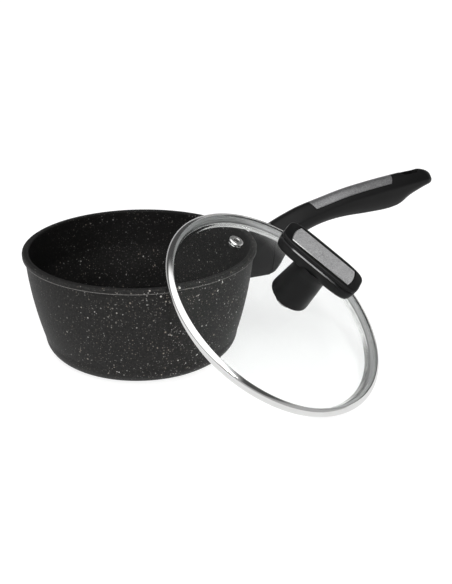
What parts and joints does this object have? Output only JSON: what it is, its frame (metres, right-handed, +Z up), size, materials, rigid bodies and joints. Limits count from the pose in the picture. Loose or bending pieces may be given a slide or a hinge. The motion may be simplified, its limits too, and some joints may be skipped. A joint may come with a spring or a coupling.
{
  "type": "saucepan with glass lid",
  "caption": "Round non-stick saucepan with a long curved handle and a separate domed glass lid with a bar knob, the lid leaning on the rim.",
  "frame": {"origin": "centre of the pan's base, on the surface it stands on", "axes": "+Z up along the pan's axis, +X along the handle, away from the pan"},
  "size_m": [0.3768, 0.2775, 0.1297],
  "materials": {
    "granite_coat": "matt charcoal non-stick coat with pale stone-like specks over cast aluminium",
    "base_steel": "spun magnetic steel",
    "soft_black": "soft-touch phenolic plastic",
    "satin_trim": "grained satin metal plate",
    "polished_steel": "polished stainless steel",
    "silicone": "moulded silicone",
    "brass": "turned brass",
    "raw_aluminium": "bare turned aluminium",
    "clear_glass": "clear tempered glass"
  },
  "bodies": {
    "pan": {"pan_body": "granite_coat", "base_disc": "base_steel", "ferrule_gasket": "silicone", "handle_ferrule": "soft_black", "handle_grip": "soft_black", "handle_trim": "satin_trim", "handle_screw": "polished_steel", "wall_boss": "raw_aluminium", "screw_washer": "polished_steel"},
    "lid": {"lid_glass": "clear_glass", "vent_eyelet": "polished_steel", "vent_collar": "polished_steel", "lid_rim_band": "polished_steel", "lid_rim_seal": "silicone", "knob_body": "soft_black", "knob_cap": "soft_black", "knob_trim": "satin_trim", "knob_insert": "brass", "knob_gasket_upper": "silicone", "knob_gasket_lower": "silicone", "knob_washer": "polished_steel", "knob_screw": "polished_steel"}
  },
  "joints": [
    {"name": "lid_lift", "type": "slide", "parent": "pan", "child": "lid", "axis": [0.3219, -0.4901, 0.81], "range_m": [0, 0.15]}
  ]
}
